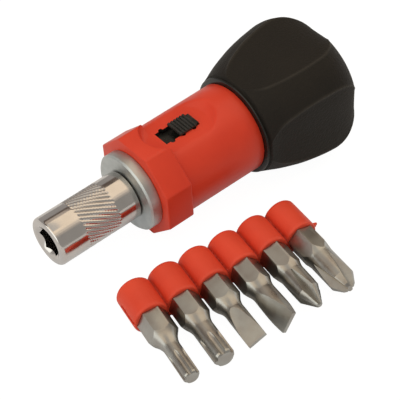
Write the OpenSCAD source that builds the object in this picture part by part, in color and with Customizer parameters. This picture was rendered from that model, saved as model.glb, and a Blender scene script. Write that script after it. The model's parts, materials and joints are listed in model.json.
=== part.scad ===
// Stubby reversible ratcheting screwdriver lying on a bench, with its rubber bit strip.
// The tool is drawn along +X from the chuck's tip, with the switch up, and then laid down.

/* [Drive chuck] */
// Width across the flats of the bits
bit_af = 6.35; // [6.2:0.05:6.5]
// Width of the hex socket beyond the bit's flats
socket_play = 0.15; // [0.05:0.05:0.3]
// Diameter of the chuck sleeve
chuck_d = 12.1; // [11:0.1:13]
// Length of the chuck sleeve in front of the nose bush
chuck_len = 21.9; // [21:0.1:26]
// Depth of the hex socket down to the magnet
socket_depth = 10.5; // [8:0.5:11]
// Diameter of the countersunk mouth of the socket
mouth_d = 8.4; // [8:0.1:9]

/* [Ratchet] */
// Diameter of the spindle's front journal
spindle_d = 8; // [7:0.5:8]
// Diameter of the spindle under the ratchet wheel
shaft_d = 6; // [5:0.5:6.5]
// Diameter over the tips of the ratchet teeth
gear_tip_d = 9.8; // [9.6:0.1:10]
// Number of ratchet teeth
gear_teeth = 24; // [24:24:24]
// Depth of a ratchet tooth
tooth_depth = 0.6; // [0.5:0.05:0.7]
// Width of each pawl along the axis
pawl_w = 4.5; // [4:0.25:5]
// Turn of a pawl between engaged and lifted, in degrees
pawl_lift = 10; // [9:0.5:10.5]
// Outer diameter of the nose bush flange
bush_flange_d = 19.6; // [19:0.1:21]
// Thickness of the nose bush flange
bush_flange_t = 2.9; // [2.5:0.1:3.2]
// Diameter of the nose bush body inside the barrel
bush_body_d = 11.8; // [11:0.1:12]

/* [Handle] */
// Width across the flats of the octagonal collar
collar_af = 23.9; // [23.4:0.1:25]
// Length of the octagonal collar
collar_len = 7.2; // [6:0.1:8]
// Barrel diameter behind the collar
barrel_d = 22.6; // [22:0.1:23]
// Growth of the barrel diameter up to the cap
barrel_flare = 0.4; // [0:0.1:0.8]
// Length of the barrel between the collar and the cap
barrel_len = 22.2; // [21.8:0.1:26]
// Diameter of the ratchet chamber in the barrel
chamber_d = 18.4; // [18:0.1:18.6]
// Length of the spigot that the cap slides onto
spigot_len = 8; // [7:0.5:10]

/* [Thumb switch] */
// Height of the thumb recess floor above the axis
floor_h = 9.8; // [9.7:0.05:10.1]
// Length of the thumb recess
recess_len = 18.9; // [18:0.1:19.5]
// Length of the switch slot
slot_len = 9.8; // [9.6:0.1:10]
// Width of the switch slot
slot_w = 4.4; // [4:0.1:4.8]
// Distance between two switch positions
switch_step = 3.1; // [2.9:0.05:3.1]
// Length of the ridged thumb pad
pad_len = 5; // [4.8:0.1:5.6]
// Width of the ridged thumb pad
pad_w = 4.9; // [4.6:0.1:5.4]
// Number of ridges on the pad
pad_ridges = 6; // [4:1:7]

/* [Palm cap] */
// Length of the palm cap
cap_len = 30.8; // [30:0.2:36]
// Largest diameter of the palm cap
cap_d = 35.9; // [34:0.1:38]
// Diameter of the cap's front lip
lip_d = 25; // [24.6:0.1:26]
// Wall of the rigid liner inside the cap
liner_t = 1.1; // [0.9:0.1:1.2]

/* [Bit strip] */
// Number of bits
bit_count = 6; // [6:1:6]
// Overall length of a bit
bit_len = 25; // [24:0.5:27]
// Distance between two bits at the strip's back edge
strip_pitch = 8.17; // [8:0.05:9]
// Length of a pocket along its bit
pocket_len = 8.9; // [8:0.1:10]
// Depth of the hex hole in a pocket
pocket_depth = 6; // [5:0.5:7]
// Height of a pocket above the bench
pocket_h = 8.2; // [8:0.1:9]
// Angle between the strip and the tool, in degrees
strip_turn = -3.8; // [-6:0.2:0]
// Lean of the first bit against the strip, in degrees
bit_lean = -7.9; // [-9:0.1:-5]
// Change of the lean from bit to bit, in degrees
bit_fan = 0.86; // [0.5:0.02:1]

/* [Hidden] */
$fn = 96;

// Clearances: running fits, pressed seats, face gaps and the overrun of every cut
run_gap = 0.05;
seat_gap = 0.02;
face_gap = 0.1;
overrun = 0.5;

// Socket magnet behind the bit
magnet_r = 2.6;
magnet_t = 3;
magnet_back = 1.5;
spindle_front = socket_depth + magnet_t + magnet_back;

// Places along the tool's axis
bush_share = 1.183;
bush_front = chuck_len + 3 * face_gap;
collar_front = bush_front + bush_flange_t;
collar_rear = collar_front + collar_len;
cap_front = collar_rear + barrel_len;
cap_end = cap_front + cap_len;
bush_rear = collar_front + bush_share * collar_len;
washer_t = 0.8;
washer_front = bush_rear + face_gap;
shoulder_at = washer_front + washer_t + face_gap;
gear_hub_t = 1.6;
gear_front = shoulder_at + gear_hub_t;
pawl_space = 2;
pawl_a_front = gear_front + face_gap;
pawl_b_front = pawl_a_front + pawl_w + pawl_space;
gear_rear = pawl_b_front + pawl_w + 5 * face_gap;

// Thumb switch: slot, base plate, stem and travel
switch_travel = 2 * switch_step;
slot_front = collar_rear + slot_len * 0.107;
slot_rear = slot_front + slot_len;
recess_r = 5;
recess_front = slot_front - 0.444 * slot_len;
base_top = chamber_d / 2 - 0.9;
base_t = 1.3;
base_w = 6.8;
base_front = slot_front - overrun;
base_rear = slot_rear + switch_travel + 2 * face_gap;
stem_len = slot_len - switch_travel - 2 * face_gap;
stem_rear = slot_rear - face_gap;
pad_rear = slot_rear - 9 * face_gap;
pad_t = 0.3;
ridge_r = 0.3;
notch_r = 0.6;
nub_r = 0.3;
finger_inner = 2.6;
finger_bottom = gear_tip_d / 2 - 0.4;

// Rear bearing, chamber cover and spindle end
chamber_r = chamber_d / 2;
rear_bore_r = chamber_r + 0.4;
bulkhead_front = base_rear + 3 * face_gap;
bulkhead_t = 3;
bulkhead_rear = bulkhead_front + bulkhead_t;
clip_t = 0.6;
clip_r = 4.2;
clip_groove_r = shaft_d / 2 - 0.5;
clip_front = bulkhead_rear + face_gap;
spindle_rear = clip_front + 2 * clip_t;
cover_t = 0.8;
cover_wall = 0.8;
cover_front = spindle_rear + 3 * face_gap;
cover_rear = cover_front + cover_t;

// Pawls: hub, pin place and the outline of the engaged pawl in the Y-Z plane
pin_r = 0.8;
hub_r = 1.5;
pin_at = chamber_r - hub_r - 3 * face_gap;
pin_angle = 19;
pawl_y = -pin_at * cos(pin_angle);
pawl_z = -pin_at * sin(pin_angle);
gear_tip_r = gear_tip_d / 2;
gear_root_r = gear_tip_r - tooth_depth;
mesh_angle = 360 / gear_teeth;
tooth_tip_r = gear_root_r + 2 * face_gap;
pawl_face = -gear_tip_r * 0.88;
tail_top = finger_bottom + 0.9;
tail_t = 1.1;
// Height of the cam finger's edge above the pawl pin, and the sideways lift that it needs there
cam_h = finger_bottom - pawl_z;
cam_arm = pawl_face - pawl_y;
cam_lift = (cam_h - cam_arm * sin(pawl_lift)) * tan(pawl_lift) + cam_arm * (1 - cos(pawl_lift));
cam_gap = 0.15;

// Torsion springs round the pawl pins
spring_wire_r = 0.2;
spring_turns = 3;
spring_r = pin_r + spring_wire_r + face_gap;
spring_pitch = 0.45;

// Screws that hold the bulkhead
screw_r = 0.9;
screw_head_r = 1.6;
screw_head_t = 1.2;
screw_len = 7;
post_r = 1.7;
post_at = chamber_r - post_r + 3 * face_gap;
post_angle = 35;

// Spigot, seal, liner and palm grip
barrel_r = barrel_d / 2;
barrel_rear_r = barrel_r + barrel_flare / 2;
spigot_r = barrel_rear_r - 0.5;
spigot_rear = cap_front + spigot_len;
seal_r = 0.65;
seal_at = cap_front + spigot_len / 2;
seal_ring_r = spigot_r - seal_r + run_gap / 2;
liner_bore_r = spigot_r + run_gap;
liner_r = liner_bore_r + liner_t;
lip_t = 1;
dome_t = 4.5;
liner_front = cap_front + lip_t;
liner_rear = cap_end - dome_t;
liner_corner = 2.7;
grip_front = cap_front + face_gap;
// Palm cap outline up to its widest ring: share of the cap's length, share of its radius between lip and widest
cap_shares = [
    [0, 0], [0.08, 0.18], [0.18, 0.41], [0.28, 0.6], [0.37, 0.75], [0.5, 0.9], [0.63, 1], [0.72, 1.01]
];
// The dome behind the widest ring is a rounded end: exponent of its fall
dome_start_share = 0.63;
dome_power = 2.5;
// Scallop: share of the cap's length, half angle in degrees of the scallop there
scallop_widest = 31.5;
scallop_shares = [
    [0, 3], [0.04, 12.5], [0.08, 19], [0.14, 24.5], [0.22, 27.7], [0.36, 30.5], [0.55, scallop_widest], [0.7, 30.5],
    [0.8, 26], [0.88, 17], [0.95, 8], [1, 3]
];
scallop_hollow = 0.59;
// Roundness of the edges between scallops and ribs
crease_soft = 1.4;
grip_rings = 30;
grip_steps = 8;

// Bit strip and bits
bit_hex_len = 12.9;
bit_neck_len = 2.6;
pocket_r = pocket_h / 2 + 0.15;
bit_z = pocket_h - pocket_r;
pocket_floor = pocket_len - pocket_depth;
strip_x = 8.98;
strip_y = -18.83;
web_h = 3.6;
web_inset = 1;
hook_t = 0.9;
hook_reach = 1.5;
last_lean = bit_lean + (bit_count - 1) * bit_fan;

// Turned body about the tool's axis from [radius, place] points
module turned(points) rotate([0, 90, 0]) rotate_extrude() polygon(points);

// Round rod or bore along the tool's axis
module rod(from, to, r) translate([from, 0, 0]) rotate([0, 90, 0]) cylinder(r = r, h = to - from);

// Round rod parallel to the axis, at a radius and an angle below the Y axis on one side
module side_rod(from, to, r, at, angle, side)
    translate([from, side * at * cos(angle), -at * sin(angle)]) rotate([0, 90, 0]) cylinder(r = r, h = to - from);

// Smooth curve through a table of [place, value] pairs
function knot(t, i) = t[max(0, min(len(t) - 1, i))];
function slope(t, i) = let(a = knot(t, i - 1), b = knot(t, i + 1)) (b[1] - a[1]) / (b[0] - a[0]);
function span_of(t, x, i = 0) = i >= len(t) - 2 || x < t[i + 1][0] ? i : span_of(t, x, i + 1);
function curve(t, x) = let(
    i = span_of(t, x), a = t[i], b = t[i + 1], h = b[0] - a[0], s = (x - a[0]) / h
) a[1] * (2 * s + 1) * (1 - s) * (1 - s) + b[1] * s * s * (3 - 2 * s)
    + h * (slope(t, i) * s * (1 - s) * (1 - s) - slope(t, i + 1) * s * s * (1 - s));

// Palm cap radius without scallops at a share of its length: table first, then the dome
function grip_radius(s) = let(lip_r = lip_d / 2, full_r = cap_d / 2) s <= dome_start_share
    ? lip_r + (full_r - lip_r) * curve(cap_shares, s)
    : full_r * sqrt(max(0, 1 - pow((s - dome_start_share) / (1 - dome_start_share), dome_power)));
function scallop_angle(s) = curve(scallop_shares, s);
function scallop_floor(s) = grip_radius(s) / (1 + scallop_hollow * pow(scallop_angle(s) * PI / 180, 2));
// Angle of grid step j in a quarter, measured from the scallop's middle; the crease lies on a grid line
function grip_angle(s, j) = let(
    t = abs(j) / grip_steps, w = scallop_angle(s), crease = 0.625
) sign(j) * (t <= crease ? w * t / crease : w + (45 - w) * (t - crease) / (1 - crease));
function soft_min(a, b, soft) = (a + b - sqrt(pow(a - b, 2) + soft * soft)) / 2;
function grip_point_r(s, angle) = max(0, soft_min(
    grip_radius(s), scallop_floor(s) * (1 + scallop_hollow * pow(angle * PI / 180, 2)), crease_soft * grip_radius(s) / cap_d
));

edge_round = collar_af / 30;

// Lie of the tool on the bench: front edge of the collar and the lowest creases of the cap touch it
lie_at = collar_front + edge_round;
lie = max([for (i = [1 : grip_rings - 1], j = [0 : grip_steps]) let(s = i / grip_rings, angle = grip_angle(s, j))
    atan((grip_point_r(s, angle) * cos(angle) - collar_af / 2) / (cap_front + cap_len * s - lie_at))]);
axis_height = collar_af / 2 * cos(lie) - lie_at * sin(lie);

// Middle of the whole set on the bench
set_x = (cap_end * cos(lie) - chuck_d / 2 * sin(lie)) / 2;
set_y = (cap_d / 2 * cos(scallop_widest) + strip_y - (bit_count - 1) * strip_pitch * sin(-strip_turn)
    - (pocket_floor + bit_len)) / 2;

// Places a piece drawn along +X on the bench, as the tool lies
module lie_down() translate([-set_x, -set_y, axis_height]) rotate([0, -lie, 0]) children();

// Places a piece drawn along +Z in pocket number i of the strip
module in_pocket(i) translate([-set_x + strip_x, -set_y + strip_y, 0]) rotate([0, 0, strip_turn])
    translate([i * strip_pitch, 0, bit_z]) rotate([0, 0, bit_lean + i * bit_fan]) rotate([90, 0, 0]) children();

// Hexagon with two flats facing up and down the drawing
module hexagon(af) circle(d = af / cos(30), $fn = 6);

module chuck_sleeve() color("gainsboro") lie_down() difference() {
    turned([
        [0, 0], [chuck_d * 0.44, 0], [chuck_d * 0.47, chuck_d * 0.012], [chuck_d * 0.49, chuck_d * 0.03],
        [chuck_d / 2, chuck_d * 0.07], [chuck_d / 2, chuck_len], [0, chuck_len]
    ]);
    translate([-overrun, 0, 0]) rotate([0, 90, 0]) rotate([0, 0, 90])
        linear_extrude(height = socket_depth + overrun) hexagon(bit_af + socket_play);
    turned([[0, -overrun], [mouth_d / 2 + overrun, -overrun], [mouth_d / 2, 0], [0, mouth_d / 2]]);
    rod(socket_depth - overrun, socket_depth + magnet_t, magnet_r + seat_gap);
    rod(spindle_front - face_gap, chuck_len + overrun, spindle_d / 2 + seat_gap);
}

module socket_magnet() color("dimgray") lie_down()
    rod(socket_depth, socket_depth + magnet_t - face_gap, magnet_r);

module drive_spindle() color("silver") lie_down() difference() {
    union() {
        rod(spindle_front, shoulder_at, spindle_d / 2);
        rod(shoulder_at - overrun, spindle_rear, shaft_d / 2);
    }
    difference() {
        rod(clip_front - face_gap / 2, clip_front + clip_t + face_gap / 2, shaft_d);
        rod(clip_front - clip_t, clip_front + 2 * clip_t, clip_groove_r);
    }
}

module ratchet_gear() color("darkgray") lie_down() difference() {
    union() {
        rod(shoulder_at, gear_front + overrun, gear_root_r - face_gap);
        translate([gear_front, 0, 0]) rotate([0, 90, 0]) linear_extrude(height = gear_rear - gear_front)
            polygon([for (i = [0 : gear_teeth - 1], k = [0 : 2]) let(
                a = 90 + (i + [0, 0.35, 0.65][k]) * mesh_angle, r = [gear_root_r, gear_tip_r, gear_tip_r][k]
            ) [r * cos(a), r * sin(a)]]);
    }
    rod(shoulder_at - overrun, gear_rear + overrun, shaft_d / 2 + seat_gap);
}

module spacer_sleeve() color("darkkhaki") lie_down() difference() {
    rod(gear_rear + face_gap / 2, bulkhead_front - face_gap, shaft_d / 2 + 1.4);
    rod(gear_rear - overrun, bulkhead_front + overrun, shaft_d / 2 + seat_gap);
}

module spindle_clip() color("black") lie_down() difference() {
    rod(clip_front, clip_front + clip_t, clip_r);
    rod(clip_front - overrun, clip_front + clip_t + overrun, clip_groove_r + seat_gap);
    translate([clip_front - overrun, -clip_groove_r * 0.8, -2 * clip_r])
        cube([clip_t + 2 * overrun, clip_groove_r * 1.6, 2 * clip_r]);
}

module nose_bush() color("lightsteelblue") lie_down() difference() {
    turned([
        [0, bush_front], [bush_flange_d / 2 - bush_flange_t / 8, bush_front],
        [bush_flange_d / 2, bush_front + bush_flange_t / 8], [bush_flange_d / 2, collar_front],
        [bush_body_d / 2, collar_front], [bush_body_d / 2, bush_rear], [0, bush_rear]
    ]);
    rod(bush_front - overrun, bush_rear + overrun, spindle_d / 2 + run_gap);
}

module thrust_washer() color("goldenrod") lie_down() difference() {
    rod(washer_front, washer_front + washer_t, bush_body_d / 2 + seat_gap);
    rod(washer_front - overrun, washer_front + washer_t + overrun, spindle_d / 2 + run_gap);
}

module bearing_bulkhead() color("slategray") lie_down() difference() {
    rod(bulkhead_front, bulkhead_rear, rear_bore_r - seat_gap);
    rod(bulkhead_front - overrun, bulkhead_rear + overrun, shaft_d / 2 + run_gap);
    for (side = [-1, 1]) {
        side_rod(bulkhead_front - overrun, bulkhead_rear - bulkhead_t / 3, pin_r + seat_gap, pin_at, pin_angle, side);
        side_rod(bulkhead_front - overrun, bulkhead_rear + overrun, screw_r + seat_gap, post_at, 90 - post_angle, side);
        side_rod(bulkhead_rear - screw_head_t - face_gap, bulkhead_rear + overrun, screw_head_r + seat_gap,
            post_at, 90 - post_angle, side);
    }
}

module bulkhead_screws() color("silver") lie_down() for (side = [-1, 1]) difference() {
    union() {
        side_rod(bulkhead_rear - screw_head_t, bulkhead_rear, screw_head_r, post_at, 90 - post_angle, side);
        side_rod(bulkhead_rear - screw_len, bulkhead_rear - screw_head_t + face_gap, screw_r,
            post_at, 90 - post_angle, side);
    }
    for (turn = [0, 90]) translate([bulkhead_rear, side * post_at * sin(post_angle), -post_at * cos(post_angle)])
        rotate([turn, 0, 0]) cube([screw_head_t, screw_r * 2, screw_r * 0.5], center = true);
}

module pawl_pins() color("silver") lie_down() for (side = [-1, 1])
    side_rod(bush_rear - bulkhead_t * 0.8, bulkhead_rear - bulkhead_t / 3 - face_gap, pin_r, pin_at, pin_angle, side);

// Helical torsion spring round a pin: one unbroken tube of 6 sides
module spring(side, from) {
    rings = 12 * spring_turns;
    points = [for (i = [0 : rings], k = [0 : 5]) let(
        a = 360 * i / 12, r = spring_r + spring_wire_r * cos(60 * k)
    ) [from + spring_wire_r + spring_pitch * i / 12 + spring_wire_r * sin(60 * k), r * cos(a), r * sin(a)]];
    sides = [for (i = [0 : rings - 1], k = [0 : 5]) let(a = 6 * i + k, b = 6 * i + (k + 1) % 6)
        each [[a, b, b + 6], [a, b + 6, a + 6]]];
    ends = [[for (k = [5 : -1 : 0]) k], [for (k = [0 : 5]) 6 * rings + k]];
    translate([0, side * pin_at * cos(pin_angle), -pin_at * sin(pin_angle)]) polyhedron(points, concat(sides, ends));
}

module pawl_springs() color("gold") lie_down() {
    spring(-1, pawl_a_front + pawl_w + face_gap);
    spring(1, pawl_b_front - pawl_space);
}

// Pawl outline: tail beside the cam finger, tip in the tooth gap, hub round the pin
module pawl(side, turn, front) {
    tip_angle = mesh_angle;
    tip_in = tooth_tip_r;
    tip_out = gear_tip_r + 3 * face_gap;
    tip_half = tooth_depth * 0.7;
    function at(r, across) = [-r * cos(tip_angle) + across * sin(tip_angle), r * sin(tip_angle) + across * cos(tip_angle)];
    outline = [
        [pawl_y - hub_r * 0.95, pawl_z], [pawl_face - tail_t * 2.1, gear_tip_r * 0.33],
        [pawl_face - tail_t, tail_top], [pawl_face, tail_top], [pawl_face, gear_tip_r * 0.63],
        at(tip_out, tip_half), at(tip_in, 0), at(tip_out, -tip_half),
        [pawl_y + hub_r * 0.9, -gear_tip_r * 0.2], [pawl_y + hub_r, pawl_z]
    ];
    mirror([0, side > 0 ? 1 : 0, 0]) translate([front, pawl_y, pawl_z]) rotate([turn, 0, 0]) difference() {
        union() {
            rotate([90, 0, 90]) linear_extrude(height = pawl_w) polygon([for (p = outline) [p[0] - pawl_y, p[1] - pawl_z]]);
            rod(0, pawl_w, hub_r);
        }
        rod(-overrun, pawl_w + overrun, pin_r + run_gap);
    }
}

module pawl_forward() color("dimgray") lie_down() pawl(-1, 0, pawl_a_front);
module pawl_reverse() color("dimgray") lie_down() pawl(1, pawl_lift, pawl_b_front);

module selector_switch() color([0.12, 0.12, 0.12]) lie_down() {
    step = switch_travel;
    out = -pawl_face - cam_gap;
    a_rear = pawl_a_front + pawl_w;
    // Base plate under the slot, stem in the slot with its detent nubs, and the ridged pad
    translate([base_front, -base_w / 2, base_top - base_t]) cube([base_rear - base_front, base_w, base_t]);
    translate([stem_rear - stem_len, -slot_w / 2 + 2.5 * face_gap, base_top - overrun])
        cube([stem_len, slot_w - 5 * face_gap, floor_h + face_gap + pad_t - base_top + overrun]);
    for (side = [-1, 1]) translate([stem_rear - stem_len / 2, side * (slot_w / 2 - 1.2 * nub_r), base_top - overrun])
        cylinder(r = nub_r * 0.95, h = floor_h + face_gap + pad_t - base_top + overrun);
    translate([pad_rear - pad_len, -pad_w / 2, floor_h + face_gap]) cube([pad_len, pad_w, pad_t]);
    for (i = [0 : pad_ridges - 1]) let(x = pad_rear - pad_len + pad_len * (i + 0.5) / pad_ridges)
        translate([x, pad_w / 2, floor_h + face_gap + pad_t]) rotate([90, 0, 0]) cylinder(r = ridge_r, h = pad_w);
    // Cam fingers that lift one pawl at each end of the travel
    translate([0, 0, finger_bottom]) linear_extrude(height = base_top - base_t * 0.75 - finger_bottom) {
        polygon([
            [a_rear, -finger_inner], [a_rear, -out], [a_rear + step, -out - cam_lift],
            [base_rear, -out - cam_lift], [base_rear, -finger_inner]
        ]);
        polygon([
            [pawl_b_front - pawl_space, finger_inner], [pawl_b_front - pawl_space, out + cam_lift],
            [pawl_b_front, out + cam_lift], [pawl_b_front + step, out], [pawl_b_front + step, finger_inner]
        ]);
    }
}

module barrel() color([0.86, 0.22, 0.14]) lie_down() difference() {
    union() {
        intersection() {
            translate([collar_front, 0, 0]) rotate([0, 90, 0]) rotate([0, 0, 22.5])
                cylinder(d = collar_af / cos(22.5), h = collar_len, $fn = 8);
            turned([
                [0, collar_front], [collar_af * 0.49, collar_front],
                [collar_af * 0.52, collar_front + collar_af * 0.012],
                [collar_af * 0.56, collar_front + collar_af * 0.06],
                [collar_af * 0.56, collar_rear - collar_af * 0.05],
                [collar_af * 0.53, collar_rear], [0, collar_rear]
            ]);
        }
        turned([[0, collar_front + overrun], [barrel_r, collar_front + overrun], [barrel_rear_r, cap_front], [0, cap_front]]);
        rod(cap_front - overrun, spigot_rear, spigot_r);
    }
    // Bore for the nose bush, chamber with its screw posts, rear bore and seal groove
    rod(collar_front - overrun, bush_rear + overrun, bush_body_d / 2 + seat_gap);
    difference() {
        rod(bush_rear, bulkhead_front, chamber_r);
        for (side = [-1, 1]) side_rod(bush_rear - overrun, bulkhead_front + overrun, post_r,
            post_at, 90 - post_angle, side);
    }
    rod(bulkhead_front, spigot_rear + overrun, rear_bore_r);
    for (side = [-1, 1]) {
        side_rod(bulkhead_rear - screw_len - overrun, bulkhead_front + overrun, screw_r + seat_gap,
            post_at, 90 - post_angle, side);
        side_rod(bush_rear - bulkhead_t * 0.8 - face_gap, bush_rear + overrun, pin_r + seat_gap,
            pin_at, pin_angle, side);
    }
    rotate([0, 90, 0]) translate([0, 0, seal_at]) rotate_extrude()
        translate([seal_ring_r, 0]) circle(r = seal_r + seat_gap, $fn = 32);
    // Channel for the switch's base plate in front of the chamber
    translate([base_front - switch_travel - face_gap, -base_w / 2 - face_gap, base_top - base_t - face_gap])
        cube([bush_rear - base_front + switch_travel + overrun, base_w + 2 * face_gap, base_t + 2 * face_gap]);
    // Thumb recess, slot and its half-round notches
    translate([0, 0, floor_h]) linear_extrude(height = collar_af) {
        for (x = [recess_front + recess_r, recess_front + recess_len - recess_r]) translate([x, 0]) circle(r = recess_r);
        translate([recess_front + recess_r, -recess_r]) square([recess_len - 2 * recess_r, 2 * recess_r]);
    }
    translate([slot_front, -slot_w / 2, base_top - base_t]) cube([slot_len, slot_w, collar_af]);
    for (side = [-1, 1], i = [0 : 2]) translate([
        stem_rear - stem_len / 2 - i * switch_step, side * slot_w / 2, base_top - base_t
    ]) cylinder(r = notch_r, h = collar_af);
}

module chamber_cover() color("dimgray") lie_down() difference() {
    rod(bulkhead_rear + face_gap, cover_rear, rear_bore_r - seat_gap);
    rod(bulkhead_rear - overrun, cover_front, rear_bore_r - seat_gap - cover_wall);
}

module cap_o_ring() color("black") lie_down() rotate([0, 90, 0]) translate([0, 0, seal_at]) rotate_extrude()
    translate([seal_ring_r, 0]) circle(r = seal_r, $fn = 32);

module cap_liner() color([0.2, 0.2, 0.2]) lie_down() difference() {
    turned([
        [0, liner_front], [liner_r, liner_front], [liner_r, liner_rear - liner_corner],
        [liner_r - liner_corner, liner_rear], [0, liner_rear]
    ]);
    turned([
        [0, liner_front - overrun], [liner_bore_r, liner_front - overrun],
        [liner_bore_r, liner_rear - liner_corner - liner_t / 2], [liner_bore_r - liner_corner, liner_rear - liner_t],
        [0, liner_rear - liner_t]
    ]);
}

module palm_grip() color([0.15, 0.14, 0.13]) lie_down() difference() {
    around = 8 * grip_steps;
    shares = [for (i = [0 : grip_rings]) let(s = i / grip_rings) s < 0.8 ? s : 1 - 0.2 * pow((1 - s) / 0.2, 1.6)];
    points = concat(
        [for (i = [0 : grip_rings - 1], q = [0 : 3], j = [-grip_steps : grip_steps - 1]) let(
            s = shares[i], angle = grip_angle(s, j), r = grip_point_r(s, angle)
        ) [grip_front + (cap_end - grip_front) * s, r * sin(90 * q + angle), r * cos(90 * q + angle)]],
        [[grip_front, 0, 0], [cap_end, 0, 0]]
    );
    skin = [for (i = [0 : grip_rings - 2], k = [0 : around - 1]) let(
        a = i * around + k, b = i * around + (k + 1) % around
    ) each [[a, b + around, b], [a, a + around, b + around]]];
    first = [for (k = [0 : around - 1]) [grip_rings * around, k, (k + 1) % around]];
    last = [for (k = [0 : around - 1]) let(a = (grip_rings - 1) * around)
        [grip_rings * around + 1, a + (k + 1) % around, a + k]];
    polyhedron(points, concat(skin, first, last));
    rod(cap_front - overrun, liner_front + overrun, liner_bore_r);
    turned([
        [0, liner_front], [liner_r + seat_gap, liner_front], [liner_r + seat_gap, liner_rear - liner_corner],
        [liner_r - liner_corner, liner_rear + seat_gap], [0, liner_rear + seat_gap]
    ]);
}

// One pocket's outline, round on top and flat underneath
module pocket_outline(r) difference() {
    circle(r = r);
    translate([-2 * r, -bit_z - 2 * r]) square([4 * r, 2 * r]);
}

module bit_strip() color([0.88, 0.24, 0.15]) difference() {
    union() {
        for (i = [0 : bit_count - 1]) in_pocket(i) linear_extrude(height = pocket_len) pocket_outline(pocket_r);
        // Web that joins the pockets, set back from their mouths
        translate([-set_x + strip_x, -set_y + strip_y, 0]) rotate([0, 0, strip_turn]) linear_extrude(height = web_h)
            polygon([
                [0, -web_inset / 2], [(bit_count - 1) * strip_pitch, -web_inset / 2],
                [(bit_count - 1) * strip_pitch + (pocket_len - web_inset) * sin(last_lean), -pocket_len + web_inset],
                [(pocket_len - web_inset) * sin(bit_lean), -pocket_len + web_inset]
            ]);
        // Hook at the last pocket, which closes the strip into a ring when it is rolled up
        in_pocket(bit_count - 1) translate([0, 0, pocket_len * 0.35]) linear_extrude(height = pocket_len * 0.5) {
            translate([pocket_r - hook_t, -hook_t / 2]) square([hook_t + hook_reach, hook_t]);
            translate([pocket_r + hook_reach - hook_t, -hook_t]) square([hook_t, hook_t * 2]);
        }
    }
    for (i = [0 : bit_count - 1]) in_pocket(i) translate([0, 0, pocket_floor])
        linear_extrude(height = pocket_len) hexagon(bit_af + 2 * run_gap);
    // Groove at the first pocket that takes the hook
    in_pocket(0) translate([-pocket_r - hook_t, -hook_t * 0.55, pocket_len * 0.35])
        cube([hook_t * 1.4, hook_t * 1.1, pocket_len]);
}

// Hex shank with its turned neck: the corners run out in curves where they meet the neck
module shank(neck_r) {
    corner_r = bit_af / 2 / cos(30);
    intersection() {
        linear_extrude(height = bit_hex_len) hexagon(bit_af);
        rotate_extrude() polygon([
            [0, 0], [bit_af / 2 - face_gap, 0], [corner_r + face_gap, bit_af / 8],
            [corner_r + face_gap, bit_hex_len - bit_af / 5], [neck_r + bit_af / 20, bit_hex_len], [0, bit_hex_len]
        ]);
    }
    // Neck falls from the hex to the working end along a quarter of a cosine
    rotate_extrude() polygon(concat([[0, bit_hex_len - face_gap]], [for (i = [0 : 8]) let(t = i / 8)
        [neck_r + (bit_af * 0.46 - neck_r) * pow(1 - t, 2), bit_hex_len - bit_neck_len / 4 + bit_neck_len * t]
    ], [[0, bit_hex_len + bit_neck_len]]));
}

// Star bit: six lobes over the last part of a round shank
module star_bit(r, flute_len) {
    shank(r);
    translate([0, 0, bit_hex_len]) cylinder(r = r, h = bit_len - flute_len - bit_hex_len);
    intersection() {
        translate([0, 0, bit_len - flute_len - face_gap]) linear_extrude(height = flute_len + face_gap) difference() {
            circle(r = r);
            for (i = [0 : 5]) rotate([0, 0, 60 * i]) translate([r * 1.14, 0]) circle(r = r * 0.36, $fn = 32);
        }
        rotate_extrude() polygon([
            [0, 0], [2 * r, 0], [2 * r, bit_len - r], [r, bit_len - r * 0.2], [r * 0.78, bit_len], [0, bit_len]
        ]);
    }
}

// Slotted bit: round shank milled to a wedge with two hollow faces
module slotted_bit(neck, blade_w, blade_t, turn) {
    blade_len = bit_len * 0.36;
    mill_r = bit_len * 0.9;
    shank(neck);
    rotate([0, 0, turn]) difference() {
        intersection() {
            rotate_extrude() polygon([
                [0, bit_hex_len], [neck, bit_hex_len], [neck, bit_len - blade_len],
                [blade_w / 2 + face_gap, bit_len - blade_len / 3], [blade_w / 2 + face_gap, bit_len], [0, bit_len]
            ]);
            translate([-blade_w / 2, -bit_af, 0]) cube([blade_w, 2 * bit_af, bit_len]);
        }
        for (side = [-1, 1]) translate([0, side * (mill_r + blade_t / 2), bit_len]) rotate([0, 90, 0])
            cylinder(r = mill_r, h = 2 * bit_af, center = true);
    }
}

// Cross bit: cone with four flutes milled along it
module cross_bit(neck, cone_len, tip_r, flute_w, flute_rise, turn) {
    shank(neck);
    rotate([0, 0, turn]) difference() {
        rotate_extrude() polygon([
            [0, bit_hex_len], [neck, bit_hex_len], [neck, bit_len - cone_len], [tip_r, bit_len - tip_r / 4],
            [tip_r * 0.7, bit_len], [0, bit_len]
        ]);
        for (i = [0 : 3]) rotate([0, 0, 90 * i + 45]) translate([flute_w * 0.5, 0, bit_len]) rotate([0, -flute_rise, 0])
            rotate([0, 0, -45]) translate([0, 0, -bit_len * 0.6]) cube([bit_af, bit_af, bit_len]);
    }
}

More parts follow.
